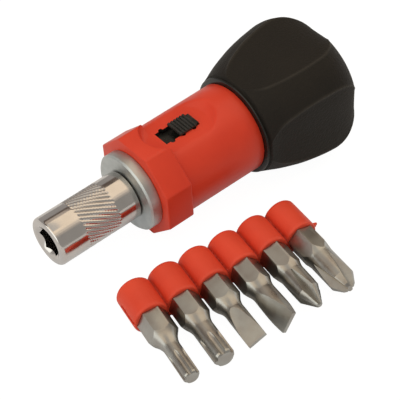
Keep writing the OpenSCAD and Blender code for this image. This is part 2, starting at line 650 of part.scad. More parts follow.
module star_bit_small() color("tan") in_pocket(0) translate([0, 0, pocket_floor + face_gap]) star_bit(bit_af * 0.3, bit_len * 0.3);
module star_bit_large() color("tan") in_pocket(1) translate([0, 0, pocket_floor + face_gap]) star_bit(bit_af * 0.385, bit_len * 0.28);
module slotted_bit_narrow() color("tan") in_pocket(2) translate([0, 0, pocket_floor + face_gap])
    slotted_bit(bit_af * 0.36, bit_af * 0.76, bit_af * 0.13, 0);
module slotted_bit_wide() color("tan") in_pocket(3) translate([0, 0, pocket_floor + face_gap])
    slotted_bit(bit_af * 0.41, bit_af * 0.98, bit_af * 0.16, 45);
module cross_bit_pointed() color("tan") in_pocket(4) translate([0, 0, pocket_floor + face_gap])
    cross_bit(bit_af * 0.42, bit_len * 0.17, bit_af * 0.1, bit_af * 0.12, 12, 20);
module cross_bit_ribbed() color("tan") in_pocket(5) translate([0, 0, pocket_floor + face_gap])
    cross_bit(bit_af * 0.46, bit_len * 0.12, bit_af * 0.18, bit_af * 0.14, 14, 10);

chuck_sleeve();
socket_magnet();
drive_spindle();
ratchet_gear();
spacer_sleeve();
spindle_clip();
nose_bush();
thrust_washer();
bearing_bulkhead();
bulkhead_screws();
pawl_pins();
pawl_springs();
pawl_forward();
pawl_reverse();
selector_switch();
barrel();
chamber_cover();
cap_o_ring();
cap_liner();
palm_grip();
bit_strip();
star_bit_small();
star_bit_large();
slotted_bit_narrow();
slotted_bit_wide();
cross_bit_pointed();
cross_bit_ribbed();
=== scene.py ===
# A stubby ratcheting screwdriver lying on a bench, beside the rubber strip that holds its six bits.
# Every size is in metres. The parts of the tool are drawn along +X from the tip of the chuck, with
# the thumb switch up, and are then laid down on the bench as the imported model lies.
import json
import math

import bpy
from mathutils import Matrix, Vector


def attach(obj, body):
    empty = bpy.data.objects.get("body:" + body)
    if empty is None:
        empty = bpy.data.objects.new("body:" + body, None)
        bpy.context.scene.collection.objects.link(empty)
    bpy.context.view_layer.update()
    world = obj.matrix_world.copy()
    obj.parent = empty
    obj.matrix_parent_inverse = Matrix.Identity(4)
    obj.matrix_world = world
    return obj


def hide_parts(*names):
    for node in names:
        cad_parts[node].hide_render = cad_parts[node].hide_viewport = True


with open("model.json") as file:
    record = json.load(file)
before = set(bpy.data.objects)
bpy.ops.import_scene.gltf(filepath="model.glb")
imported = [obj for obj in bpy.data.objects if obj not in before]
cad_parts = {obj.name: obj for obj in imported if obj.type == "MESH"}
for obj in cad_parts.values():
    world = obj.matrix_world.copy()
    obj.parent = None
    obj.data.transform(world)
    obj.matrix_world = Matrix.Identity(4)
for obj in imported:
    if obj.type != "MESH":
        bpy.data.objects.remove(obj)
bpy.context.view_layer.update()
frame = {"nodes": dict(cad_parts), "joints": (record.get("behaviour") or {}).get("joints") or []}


# The camera: a long lens that looks down at the bench from in front and from the left. It aims at
# a point beside the collar, measured from the tip of the chuck, which the drive's joint gives.
spin = next(joint for joint in frame["joints"] if joint["name"] == "drive_spin")
tip = Vector(spin["pos_m"])
along = Vector(spin["axis"]).normalized()
aim = Vector((tip.x + 0.034828, tip.y - 0.011207, 0.010))
look_azimuth = math.radians(-40.089)
look_elevation = math.radians(43.921)
look_from = 0.33319
film = 0.036
back = Vector((
    math.sin(look_azimuth) * math.cos(look_elevation),
    -math.cos(look_azimuth) * math.cos(look_elevation),
    math.sin(look_elevation),
))
bpy.ops.object.select_all(action="DESELECT")
bpy.ops.object.camera_add(location=aim + back * look_from)
camera = bpy.context.object
camera.name = "bench_camera"
camera.rotation_euler = back.to_track_quat("Z", "Y").to_euler()
camera.data.sensor_width = film * 1000
camera.data.lens = 131.08
camera.data.clip_start = 0.01
camera.data.clip_end = 20
bpy.context.scene.camera = camera
bpy.context.scene.view_settings.view_transform = "Standard"


# The bench: a white table top. It is bright enough to vanish against the white of the studio,
# and only the soft shadow under the tool and the bits still shows on it. The glow that gloss sees
# on it is painted darker in the narrow gaps between the pieces: a painted shade.
bench_size = 1.6
glow_to_camera = 0.84
glow_to_gloss = 0.36
corner_reach = 0.005
corner_depth = 1.3
bpy.ops.mesh.primitive_plane_add(size=bench_size, location=(0, 0, -0.00005))
bench = bpy.context.object
bench.name = "bench"
white_top = bpy.data.materials.new("white_table_top")
white_top.use_nodes = True
tree = white_top.node_tree
top_shader = tree.nodes["Principled BSDF"]
top_shader.inputs["Base Color"].default_value = (0.68, 0.70, 0.72, 1)
top_shader.inputs["Roughness"].default_value = 0.7
top_shader.inputs["Specular IOR Level"].default_value = 0.2


def combine(tree, how, first, second):
    """One value out of two, each a socket or a plain number."""
    node = tree.nodes.new("ShaderNodeMath")
    node.operation = how
    for socket, value in zip(node.inputs, (first, second)):
        if isinstance(value, float):
            socket.default_value = value
        else:
            tree.links.new(value, socket)
    return node.outputs[0]


path = tree.nodes.new("ShaderNodeLightPath")
# Painted shade: an ambient occlusion node darkens the glow that gloss sees on the bench near the pieces.
corner = tree.nodes.new("ShaderNodeAmbientOcclusion")
corner.samples = 8
corner.inputs["Distance"].default_value = corner_reach
to_gloss = combine(tree, "MULTIPLY", path.outputs["Is Glossy Ray"], glow_to_gloss)
open_gloss = combine(tree, "MULTIPLY", to_gloss, combine(tree, "POWER", corner.outputs["AO"], corner_depth))
clear = combine(tree, "MAXIMUM", path.outputs["Is Camera Ray"], path.outputs["Is Transmission Ray"])
to_camera = combine(tree, "MULTIPLY", clear, glow_to_camera)
white = tree.nodes.new("ShaderNodeEmission")
white.inputs["Strength"].default_value = 1.15
blend = tree.nodes.new("ShaderNodeMixShader")
tree.links.new(combine(tree, "MAXIMUM", to_camera, open_gloss), blend.inputs["Fac"])
tree.links.new(top_shader.outputs[0], blend.inputs[1])
tree.links.new(white.outputs[0], blend.inputs[2])
tree.links.new(blend.outputs[0], tree.nodes["Material Output"].inputs["Surface"])
bench.data.materials.append(white_top)


# The studio: a tent of lit cloths that runs along the bench, far outside every view. The warm
# diffuser overhead gives the light, and the greyer cloths beside it give the chrome its bands. One
# more lights the left side, and two that only gloss sees hang over the bits.
def cloth(name, start, end, colour, level, left=-3.5, right=3.5, turn=0, lights=True):
    """A lit cloth between two lines along X, each given as (y, z), which the camera looks through."""
    low = Vector(((left + right) / 2, *start))
    high = Vector(((left + right) / 2, *end))
    bpy.ops.object.select_all(action="DESELECT")
    bpy.ops.mesh.primitive_plane_add(size=1, location=(low + high) / 2)
    panel = bpy.context.object
    panel.name = name
    panel.scale = (right - left, (high - low).length, 1)
    panel.rotation_euler = (math.atan2(high.z - low.z, high.y - low.y), 0, 0)
    bpy.ops.object.transform_apply(location=True, rotation=True, scale=True)
    panel.rotation_euler = (0, 0, math.radians(turn))
    bpy.ops.object.transform_apply(location=True, rotation=True, scale=True)
    panel.visible_camera = False
    panel.visible_diffuse = lights
    paint = bpy.data.materials.new(name + "_cloth")
    paint.use_nodes = True
    glow = paint.node_tree.nodes.new("ShaderNodeEmission")
    glow.inputs["Color"].default_value = (*colour, 1)
    glow.inputs["Strength"].default_value = level
    surface = paint.node_tree.nodes["Material Output"].inputs["Surface"]
    paint.node_tree.links.new(glow.outputs[0], surface)
    panel.data.materials.append(paint)


cloth("cloth_at_back", (1.3, -0.1), (1.3, 0.944), (1.0, 0.93, 0.88), 0.42)
cloth("seam_at_back", (1.3, 0.944), (0.74, 1.2), (1.0, 0.75, 0.62), 0.16)
cloth("diffuser_overhead", (0.74, 1.2), (-0.50, 1.2), (1.0, 0.83, 0.64), 1.31)
cloth("edge_of_diffuser", (-0.50, 1.2), (-0.75, 1.2), (1.0, 0.86, 0.70), 0.95)
cloth("fall_of_diffuser", (-0.75, 1.2), (-1.0, 1.2), (1.0, 0.88, 0.76), 0.62)
cloth("cloth_behind_camera", (-1.0, 1.2), (-1.5, -0.1), (1.0, 0.94, 0.87), 0.40)
cloth(
    "brown_cloth_over_bits", (1.02, 1.02), (0.66, 1.10), (1.0, 0.84, 0.70), 0.62,
    left=-0.7, right=0.36, lights=False,
)
cloth(
    "grey_cloth_over_bits", (0.66, 1.10), (-0.25, 1.18), (1.0, 0.93, 0.84), 0.74,
    left=-0.7, right=0.10, lights=False,
)
cloth("cloth_at_left", (1.9, 0.1), (1.7, 1.1), (1.0, 1.0, 0.94), 1.7, left=-1.1, right=1.2, turn=90)
studio = bpy.data.worlds.new("studio")
bpy.context.scene.world = studio
studio.use_nodes = True
tree = studio.node_tree
path = tree.nodes.new("ShaderNodeLightPath")
camera_or_gloss = combine(tree, "MAXIMUM", path.outputs["Is Camera Ray"], path.outputs["Is Glossy Ray"])
seen = combine(tree, "MAXIMUM", camera_or_gloss, path.outputs["Is Transmission Ray"])
strength = tree.nodes.new("ShaderNodeMapRange")
strength.inputs["To Min"].default_value = 0.55
strength.inputs["To Max"].default_value = 1.0
tree.links.new(seen, strength.inputs["Value"])
tree.links.new(strength.outputs[0], tree.nodes["Background"].inputs["Strength"])
tree.nodes["Background"].inputs["Color"].default_value = (1, 1, 1, 1)


# The chuck: a sleeve turned from steel bar and plated with bright chrome. A hex socket with a
# countersunk mouth takes the bits, and a knurled band round the middle gives the fingers a grip.
def turned(name, rings, sides=144):
    """A solid about the X axis from its rings of (place, radius); three to twelve sides make a bar."""
    place, radius = rings[0]
    bpy.ops.object.select_all(action="DESELECT")
    bpy.ops.mesh.primitive_circle_add(
        vertices=sides, radius=radius, fill_type="NGON", location=(place, 0, 0), rotation=(0, math.pi / 2, 0)
    )
    piece = bpy.context.object
    piece.name = name
    bpy.ops.object.transform_apply(location=True, rotation=True, scale=True)
    bpy.ops.object.mode_set(mode="EDIT")
    bpy.ops.mesh.select_mode(type="FACE")
    bpy.ops.mesh.select_all(action="SELECT")
    for next_place, next_radius in rings[1:]:
        bpy.ops.mesh.extrude_region_move(TRANSFORM_OT_translate={"value": (next_place - place, 0, 0)})
        grow = next_radius / radius
        bpy.ops.transform.resize(value=(1, grow, grow), center_override=(next_place, 0, 0))
        place, radius = next_place, next_radius
    bpy.ops.mesh.select_all(action="SELECT")
    bpy.ops.mesh.normals_make_consistent(inside=False)
    bpy.ops.object.mode_set(mode="OBJECT")
    return piece


def work(piece, tool, how="DIFFERENCE"):
    """Cuts a tool's shape out of a piece, or joins it to the piece, and clears the tool away."""
    step = piece.modifiers.new("work", "BOOLEAN")
    step.operation = how
    step.object = tool
    step.solver = "EXACT"
    bpy.context.view_layer.objects.active = piece
    bpy.ops.object.modifier_apply(modifier=step.name)
    bpy.data.objects.remove(tool)


def break_edges(piece, width, angle=35, segments=2, smooth=32):
    """Rounds the edges that are sharper than an angle, if a width is given, and shades the rest smooth."""
    bpy.ops.object.select_all(action="DESELECT")
    piece.select_set(True)
    bpy.context.view_layer.objects.active = piece
    if width:
        step = piece.modifiers.new("break_edges", "BEVEL")
        step.width = width
        step.segments = segments
        step.limit_method = "ANGLE"
        step.angle_limit = math.radians(angle)
        bpy.ops.object.modifier_apply(modifier=step.name)
    bpy.ops.object.shade_smooth_by_angle(angle=math.radians(smooth))


def put(piece, matrix):
    """Moves a finished piece to its place on the bench, and keeps that place in its mesh."""
    bpy.ops.object.select_all(action="DESELECT")
    piece.select_set(True)
    bpy.context.view_layer.objects.active = piece
    piece.matrix_world = matrix @ piece.matrix_world
    bpy.ops.object.transform_apply(location=True, rotation=True, scale=True)


def finish(name, pale, deep, drift, rough, metal=0.0, shine=0.5, grain=0.0, grain_depth=0.0):
    """A surface that drifts between two colours, with its own gloss and, if given, a fine grain."""
    surface = bpy.data.materials.new(name)
    surface.use_nodes = True
    nodes = surface.node_tree.nodes
    links = surface.node_tree.links
    shader = nodes["Principled BSDF"]
    shader.inputs["Metallic"].default_value = metal
    shader.inputs["Specular IOR Level"].default_value = shine
    where = nodes.new("ShaderNodeTexCoord")
    clouds = nodes.new("ShaderNodeTexNoise")
    clouds.inputs["Scale"].default_value = drift
    clouds.inputs["Detail"].default_value = 6
    links.new(where.outputs["Object"], clouds.inputs["Vector"])
    tint = nodes.new("ShaderNodeValToRGB")
    tint.color_ramp.elements[0].position = 0.3
    tint.color_ramp.elements[0].color = (*deep, 1)
    tint.color_ramp.elements[1].position = 0.7
    tint.color_ramp.elements[1].color = (*pale, 1)
    links.new(clouds.outputs["Fac"], tint.inputs["Fac"])
    links.new(tint.outputs["Color"], shader.inputs["Base Color"])
    gloss = nodes.new("ShaderNodeMapRange")
    gloss.inputs["From Min"].default_value = 0.3
    gloss.inputs["From Max"].default_value = 0.7
    gloss.inputs["To Min"].default_value = rough[0]
    gloss.inputs["To Max"].default_value = rough[1]
    links.new(clouds.outputs["Fac"], gloss.inputs["Value"])
    links.new(gloss.outputs[0], shader.inputs["Roughness"])
    if grain:
        grains = nodes.new("ShaderNodeTexNoise")
        grains.inputs["Scale"].default_value = grain
        grains.inputs["Detail"].default_value = 3
        links.new(where.outputs["Object"], grains.inputs["Vector"])
        bump = nodes.new("ShaderNodeBump")
        bump.inputs["Strength"].default_value = 0.6
        bump.inputs["Distance"].default_value = grain_depth
        links.new(grains.outputs["Fac"], bump.inputs["Height"])
        links.new(bump.outputs[0], shader.inputs["Normal"])
    return surface


across = Vector((0, 1, 0))
lie_down = Matrix((along, across, along.cross(across))).transposed().to_4x4()
lie_down.translation = tip
chuck_r = 0.00605
chuck_len = 0.0219
mouth_r = 0.0042
socket_corner_r = 0.003753
socket_depth = 0.0105
knurl_from = 0.0070
knurl_to = 0.0165
knurl_rows = 76
knurl_starts = 32
knurl_depth = 0.00019
cross_depth = 0.00006
knurl_turn = math.radians(52)
knurl_step = (knurl_to - knurl_from) / knurl_rows
chuck = turned("chuck", [
    (mouth_r, 0.00002), (0.00005, mouth_r - 0.00005), (0, mouth_r + 0.0001), (0, 0.00532),
    (0.00006, 0.00556), (0.00022, 0.00580), (0.00047, 0.00597), (0.00085, chuck_r),
    (knurl_from - 0.0001, chuck_r),
    *[(knurl_from + knurl_step * row, chuck_r) for row in range(knurl_rows + 1)],
    (knurl_to + 0.0001, chuck_r), (chuck_len - 0.00015, chuck_r), (chuck_len, chuck_r - 0.00015),
], sides=8 * knurl_starts)
for vertex in chuck.data.vertices:
    x, y, z = vertex.co
    r = math.hypot(y, z)
    if r < 0.001:
        continue
    share = min(max((x - knurl_from) / (knurl_to - knurl_from), 0), 1)
    angle = math.atan2(z, y)
    fade = min(1, share * 16, (1 - share) * 16)
    groove = abs((angle / math.tau * knurl_starts) % 1 - 0.5) * 2
    angle = angle + share * knurl_turn
    cross = abs(((angle + share * knurl_turn * 2.4) / math.tau * knurl_starts) % 1 - 0.5) * 2
    r = r - fade * (knurl_depth * max(0, groove * 1.6 - 0.6) + cross_depth * max(0, cross * 1.8 - 0.8))
    vertex.co = (x, r * math.cos(angle), r * math.sin(angle))
work(chuck, turned("socket", [(-0.001, socket_corner_r), (socket_depth, socket_corner_r)], sides=6))
work(chuck, turned("magnet_seat", [(0.0100, 0.00262), (0.0135, 0.00262)]))
work(chuck, turned("spindle_seat", [(0.0149, 0.00402), (0.0224, 0.00402)]))
break_edges(chuck, 0)
put(chuck, lie_down)
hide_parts("chuck_sleeve")
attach(chuck, "drive")
bright_chrome = finish(
    "bright_chrome", (0.60, 0.58, 0.56), (0.55, 0.53, 0.51), 300, (0.10, 0.17), metal=1.0
)
chuck.data.materials.clear()
chuck.data.materials.append(bright_chrome)


# The nose bush: a flanged ring turned from free-cutting steel with a dull zinc plate. The chuck
# runs in its bore, and its body is pressed into the front of the barrel.
bush_front = 0.0222
collar_front = 0.0251
bush_rear = 0.0336176
bush_r = 0.0059
bush_bore_r = 0.00405
flange_r = 0.0098
flange_chamfer = 0.00042
bush = turned("nose_ring", [
    (bush_rear, bush_r), (collar_front, bush_r), (collar_front, flange_r - 0.0002),
    (collar_front - 0.0002, flange_r), (bush_front + flange_chamfer, flange_r),
    (bush_front, flange_r - flange_chamfer),
])
work(bush, turned("bush_bore", [(bush_front - 0.001, bush_bore_r), (bush_rear + 0.001, bush_bore_r)]))
break_edges(bush, 0)
put(bush, lie_down)
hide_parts("nose_bush")
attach(bush, "handle")
zinc_plate = finish(
    "dull_zinc_plate", (0.56, 0.59, 0.585), (0.47, 0.50, 0.495), 500, (0.42, 0.5), metal=1.0,
    grain=3000, grain_depth=0.00001,
)
bush.data.materials.clear()
bush.data.materials.append(zinc_plate)


# The barrel: one injection moulding in satin red. It has an octagonal collar at the nose, a thumb
# recess with a notched slot for the switch, a chamber for the ratchet and a spigot for the cap.
collar_rear = 0.0323
half_side = math.radians(22.5)
collar_corner_r = 0.0239 / 2 / math.cos(half_side)
cap_front = 0.0545
spigot_rear = 0.0625
floor_h = 0.0098
slot_front = 0.0333486
slot_rear = 0.0431486
slot_half = 0.0022
slot_cut = 0.0090
slot_cut_h = 0.0115
notch_r = 0.0006
notch_pitch = 0.0031
last_notch = slot_rear - 0.0018
chamber_r = 0.0092
rear_bore_r = 0.0096
collar_ends = [(collar_front, collar_corner_r), (collar_rear, collar_corner_r)]
collar = turned("barrel_collar", collar_ends, sides=8)
bpy.ops.object.mode_set(mode="EDIT")
bpy.ops.mesh.select_all(action="SELECT")
bpy.ops.transform.rotate(value=half_side, orient_axis="X", center_override=(0, 0, 0))
bpy.ops.object.mode_set(mode="OBJECT")
break_edges(collar, 0.0004, segments=4)
front_r = 0.0113
body_r = 0.01147
spigot_r = 0.0110
body_rows = 64
recess_front = slot_front - 0.0043512
recess_rear = recess_front + 0.0189
middle = (recess_front + recess_rear) / 2
recess_long = 0.0100
recess_wide = 0.0090
recess_flat = 0.74
recess_soft = 0.00042
row_step = (recess_rear + 0.0015 - collar_rear) / body_rows
barrel = turned("barrel_body", [
    (collar_front + 0.0005, front_r), (collar_rear - 0.0002, 0.01136),
    *[(collar_rear + row_step * row, 0.01136) for row in range(body_rows + 1)],
    (cap_front - 0.0003, body_r), (cap_front, front_r), (cap_front, spigot_r),
    (spigot_rear - 0.0003, spigot_r), (spigot_rear, spigot_r - 0.0003),
], sides=216)
for vertex in barrel.data.vertices:
    x, y, z = vertex.co
    if x > cap_front - 0.0001:
        continue
    swell_r = front_r + (body_r - front_r) * min(1, (x - collar_front) / (cap_front - collar_front))
    r = math.hypot(y, z)
    y, z = y * swell_r / r, z * swell_r / r
    far = math.hypot((x - middle) / recess_long, y / recess_wide)
    floor = floor_h + (body_r - floor_h) * max(0, (far - recess_flat) / (1 - recess_flat)) ** 2
    if z > 0 and x > collar_rear - 0.001:
        z = (z + floor - math.hypot(z - floor, recess_soft)) / 2
    vertex.co = (x, y, z)
work(barrel, collar, "UNION")
work(barrel, turned("bush_seat", [
    (collar_front - 0.001, bush_r + 0.00002), (bush_rear + 0.001, bush_r + 0.00002),
]))
bulkhead_front = 0.0498486
chamber = turned("chamber", [
    (bush_rear, chamber_r), (bulkhead_front, chamber_r), (bulkhead_front + 0.0000001, rear_bore_r),
    (spigot_rear + 0.001, rear_bore_r),
])
post_r = 0.0017
post_at = chamber_r - post_r + 0.0003
post_lean = math.radians(55)
screw_r = 0.00092
pin_r = 0.00082
pin_at = 0.0080
pin_lean = math.radians(19)
side_rods = [
    ("screw_post", bush_rear - 0.0005, bulkhead_front - 0.00002, post_r, post_at, post_lean),
    ("screw_bore", bulkhead_front - 0.0045, bulkhead_front + 0.0005, screw_r, post_at, post_lean),
    ("pin_bore", bush_rear - 0.0025, bush_rear + 0.0005, pin_r, pin_at, pin_lean),
]
for side in (-1, 1):
    for name, start, end, r, at, lean in side_rods:
        rod = turned(name, [(start, r), (end, r)], sides=32)
        put(rod, Matrix.Translation((0, side * at * math.cos(lean), -at * math.sin(lean))))
        work(chamber, rod, "DIFFERENCE" if name == "screw_post" else "UNION")
work(barrel, chamber)
seal_at = 0.0585
seal_ring_r = 0.010375
seal_groove_r = 0.00067
bpy.ops.object.select_all(action="DESELECT")
bpy.ops.mesh.primitive_torus_add(
    location=(seal_at, 0, 0), rotation=(0, math.pi / 2, 0), major_radius=seal_ring_r,
    minor_radius=seal_groove_r, major_segments=144, minor_segments=32,
)
work(barrel, bpy.context.object)
dish = [
    (0, 0.0085, 0.0034), (0.00006, 0.0088, 0.0043), (0.00022, 0.0091, 0.0051),
    (0.00050, 0.0093, 0.0058), (0.00100, 0.0095, 0.0066), (0.00300, 0.0099, 0.0086),
]
last_rise, last_long, last_wide = dish[0]
dish_floor = floor_h - 0.00004
bpy.ops.object.select_all(action="DESELECT")
bpy.ops.mesh.primitive_circle_add(
    vertices=96, radius=1, fill_type="NGON", location=(middle, 0, dish_floor)
)
thumb_recess = bpy.context.object
thumb_recess.name = "thumb_recess"
thumb_recess.scale = (last_long, last_wide, 1)
bpy.ops.object.transform_apply(location=True, rotation=True, scale=True)
bpy.ops.object.mode_set(mode="EDIT")
bpy.ops.mesh.select_mode(type="FACE")
bpy.ops.mesh.select_all(action="SELECT")
for rise, half_long, half_wide in dish[1:]:
    bpy.ops.mesh.extrude_region_move(TRANSFORM_OT_translate={"value": (0, 0, rise - last_rise)})
    bpy.ops.transform.resize(
        value=(half_long / last_long, half_wide / last_wide, 1),
        center_override=(middle, 0, dish_floor + rise),
    )
    last_rise, last_long, last_wide = rise, half_long, half_wide
bpy.ops.mesh.select_all(action="SELECT")
bpy.ops.mesh.normals_make_consistent(inside=False)
bpy.ops.mesh.bisect(
    plane_co=(collar_rear + 0.00015, 0, 0), plane_no=(1, 0, 0), clear_outer=True, use_fill=True
)
bpy.ops.object.mode_set(mode="OBJECT")
work(barrel, thumb_recess)


def block(name, place, size):
    """A square block about its middle, which cuts or joins a piece."""
    bpy.ops.object.select_all(action="DESELECT")
    bpy.ops.mesh.primitive_cube_add(size=1, location=place)
    piece = bpy.context.object
    piece.name = name
    piece.scale = size
    bpy.ops.object.transform_apply(location=True, rotation=True, scale=True)
    return piece


slot = block(
    "slot", ((slot_front + slot_rear) / 2, 0, slot_cut_h),
    (slot_rear - slot_front, 2 * slot_half, slot_cut),
)
for side in (-1, 1):
    for step in range(3):
        bpy.ops.object.select_all(action="DESELECT")
        bpy.ops.mesh.primitive_cylinder_add(
            vertices=24, radius=notch_r, depth=slot_cut,
            location=(last_notch - notch_pitch * step, side * slot_half, slot_cut_h),
        )
        work(slot, bpy.context.object, "UNION")
work(barrel, slot)
work(barrel, block("switch_channel", (0.0305, 0, 0.00765), (0.0085, 0.0070, 0.0015)))
break_edges(barrel, 0)
put(barrel, lie_down)
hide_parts("barrel")
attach(barrel, "handle")
red_plastic = finish(
    "satin_red_plastic", (0.76, 0.060, 0.026), (0.71, 0.052, 0.023), 120, (0.36, 0.44), shine=0.3,
    grain=6000, grain_depth=0.00001,
)
black_plastic = finish(
    "matt_black_moulding", (0.016, 0.017, 0.015), (0.010, 0.011, 0.010), 400, (0.45, 0.6), shine=0.3,
    grain=6000, grain_depth=0.00002,
)
barrel.data.materials.clear()
barrel.data.materials.append(red_plastic)
barrel.data.materials.append(black_plastic)
to_drawing = lie_down.inverted()
slack = 0.0001
for face in barrel.data.polygons:
    x, y, z = to_drawing @ face.center
    upright = (to_drawing.to_3x3() @ face.normal).z
    in_slot = slot_front - slack < x < slot_rear + slack and abs(y) < slot_half + notch_r + slack
    if in_slot and abs(upright) < 0.5 and floor_h - 0.0007 < z < floor_h + 0.0004:
        face.material_index = 1


# The thumb switch: a black moulding whose ribbed pad stands in the slot and drives the two pawls.
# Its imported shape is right, and it is a little glossier than the parts inside, from the thumb.
switch_plastic = finish(
    "polished_black_moulding", (0.020, 0.021, 0.019), (0.013, 0.014, 0.013), 400, (0.22, 0.32), shine=0.6
)
for held in frame["nodes"]["selector_switch"].material_slots:
    held.material = switch_plastic


# The palm cap: black rubber moulded over a rigid liner. Four scallops for the fingers run out into
# ribs, and a thin bead round the front lip closes on the barrel. It pulls off the barrel's spigot.
cap_len = 0.0308
cap_r = 0.03590 / 2
cap_mouth_r = 0.01105
liner_r = 0.01217
liner_rear = 0.08082
liner_chamfer = 0.00272
lip_r = 0.0125
bead_len = 0.00042
dome_start = 0.63
dome_power = 2.5
widest_angle = 31.5
scallop_hollow = 0.59
crease_soft = 0.00015
crease_ridge = 0.00020
crease_width = 0.00032
crease_wear_and_highlight_width = 0.00030
swell = [(0, 0), (0.08, 0.18), (0.18, 0.41), (0.28, 0.6), (0.37, 0.75), (0.5, 0.9), (0.63, 1), (0.72, 1.01)]
scallop = [
    (0, 3), (0.04, 12.5), (0.08, 19), (0.14, 24.5), (0.22, 27.7), (0.36, 30.5),
    (0.55, widest_angle), (0.7, 30.5), (0.8, 26), (0.88, 17), (0.95, 8), (1, 3),
]


def curve(table, x):
    """A smooth value between the (place, value) pairs of a table."""
    last = len(table) - 2
    i = next((k for k in range(last) if x < table[k + 1][0]), last)
    def lean(k):
        low = table[max(k - 1, 0)]
        high = table[min(k + 1, last + 1)]
        return (high[1] - low[1]) / (high[0] - low[0])
    span = table[i + 1][0] - table[i][0]
    s = (x - table[i][0]) / span
    return (
        table[i][1] * (2 * s + 1) * (1 - s) ** 2 + table[i + 1][1] * s * s * (3 - 2 * s)
        + span * (lean(i) * s * (1 - s) ** 2 - lean(i + 1) * s * s * (1 - s))
    )


def cap_radius(share, angle):
    """Radius of the cap at a share of its length and an angle from the middle of a scallop."""
    widest_r = cap_r - crease_ridge
    if share <= dome_start:
        full = lip_r + (widest_r - lip_r) * curve(swell, share)
    else:
        fall = ((share - dome_start) / (1 - dome_start)) ** dome_power
        full = widest_r * math.sqrt(max(0, 1 - fall))
    half = math.radians(curve(scallop, share))
    hollow = full / (1 + scallop_hollow * half ** 2) * (1 + scallop_hollow * angle ** 2)
    soft = crease_soft * full / cap_r
    return max(0, (full + hollow - math.hypot(full - hollow, soft)) / 2)


def tint_by(surface, attribute, colour):
    """Draws a surface's colour towards another one where the piece's own attribute says so."""
    tree = surface.node_tree
    base = tree.nodes["Principled BSDF"].inputs["Base Color"]
    where = tree.nodes.new("ShaderNodeAttribute")
    where.attribute_name = attribute
    mix = tree.nodes.new("ShaderNodeMix")
    mix.data_type = "RGBA"
    mix.inputs[7].default_value = (*colour, 1)
    tree.links.new(where.outputs["Fac"], mix.inputs[0])
    tree.links.new(base.links[0].from_socket, mix.inputs[6])
    tree.links.new(mix.outputs[2], base)


shell_front = cap_front + 0.0001
shell_len = cap_len - 0.0001
cap_rows = 72
cap_steps = 24
crease_step = 0.625
fine_share = 0.2
shares = [row / cap_rows for row in range(cap_rows + 1)]
shares = [s if s < 1 - fine_share else 1 - fine_share * ((1 - s) / fine_share) ** 1.6 for s in shares]
lip = [
    (0, 0.01225), (0.00008, 0.01250), (0.00018, 0.01262), (0.00030, 0.01266), (0.00042, 0.01262),
    (0.00050, 0.01248), (0.00057, 0.01222), (0.00068, 0.01212), (0.00080, 0.01220), (0.00100, 0.01242),
]
cap_places = [shell_len * s for s in shares if shell_len * s > 0.0012]
cap = turned("palm_cap", [
    *[(shell_front + place, r) for place, r in lip],
    *[(shell_front + place, 0.01) for place in cap_places[:-1]],
    (cap_front + cap_len, 0.00002),
], sides=8 * cap_steps)
for vertex in cap.data.vertices:
    x, y, z = vertex.co
    share = min(1, (x - shell_front) / shell_len)
    if x < cap_front + 0.0012 or share > 0.9999:
        continue
    angle = math.atan2(y, z)
    quarter = round(angle / (math.pi / 2))
    step = (angle - quarter * math.pi / 2) / (math.pi / 4)
    half = math.radians(curve(scallop, share))
    if abs(step) < crease_step:
        away = half * abs(step) / crease_step
    else:
        away = half + (math.pi / 4 - half) * (abs(step) - crease_step) / (1 - crease_step)
    r = cap_radius(share, away)
    edge = (away - half) * r / crease_width
    r = r + crease_ridge * min(1, share * 12, (1 - share) * 8) * math.exp(-edge * edge)
    angle = quarter * math.pi / 2 + math.copysign(away, step)
    vertex.co = (x, r * math.sin(angle), r * math.cos(angle))
work(cap, turned("liner_seat", [
    (cap_front - 0.001, cap_mouth_r), (cap_front + 0.001, cap_mouth_r), (cap_front + 0.001, liner_r),
    (liner_rear - liner_chamfer, liner_r), (liner_rear, liner_r - liner_chamfer),
]))
break_edges(cap, 0)
# The crests of the creases are painted lighter: partly wear on the edges, partly a painted highlight where
# the light catches them.
crease_wear_and_highlight = cap.data.attributes.new("crease_wear_and_highlight", "FLOAT", "POINT")
for vertex in cap.data.vertices:
    x, y, z = vertex.co
    share = min(1, max(0, (x - shell_front) / shell_len))
    angle = math.atan2(y, z)
    away = abs(angle - round(angle / (math.pi / 2)) * math.pi / 2)
    outside = math.hypot(y, z) > 0.98 * cap_radius(share, away)
    edge = (away - math.radians(curve(scallop, share))) * math.hypot(y, z) / crease_wear_and_highlight_width
    ends = min(1, max(0, share * 9 - 0.6), (1 - share) * 5)
    crease_wear_and_highlight.data[vertex.index].value = ends * math.exp(-edge * edge) if outside else 0
put(cap, lie_down)
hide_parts("palm_grip")
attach(cap, "cap")
black_rubber = finish(
    "matt_black_rubber", (0.0165, 0.0143, 0.0113), (0.0125, 0.0110, 0.0090), 90, (0.60, 0.68), shine=0.22,
    grain=1900, grain_depth=0.00028,
)
# Lightens the rubber along the creases: edge wear and a painted highlight.
tint_by(black_rubber, "crease_wear_and_highlight", (0.036, 0.033, 0.028))
cap.data.materials.clear()
cap.data.materials.append(black_rubber)
bead_shine = finish(
    "polished_bead", (0.012, 0.014, 0.012), (0.009, 0.010, 0.009), 300, (0.2, 0.28), shine=0.35
)
cap.data.materials.append(bead_shine)
for face in cap.data.polygons:
    if (to_drawing @ face.center).x < cap_front + bead_len:
        face.material_index = 1


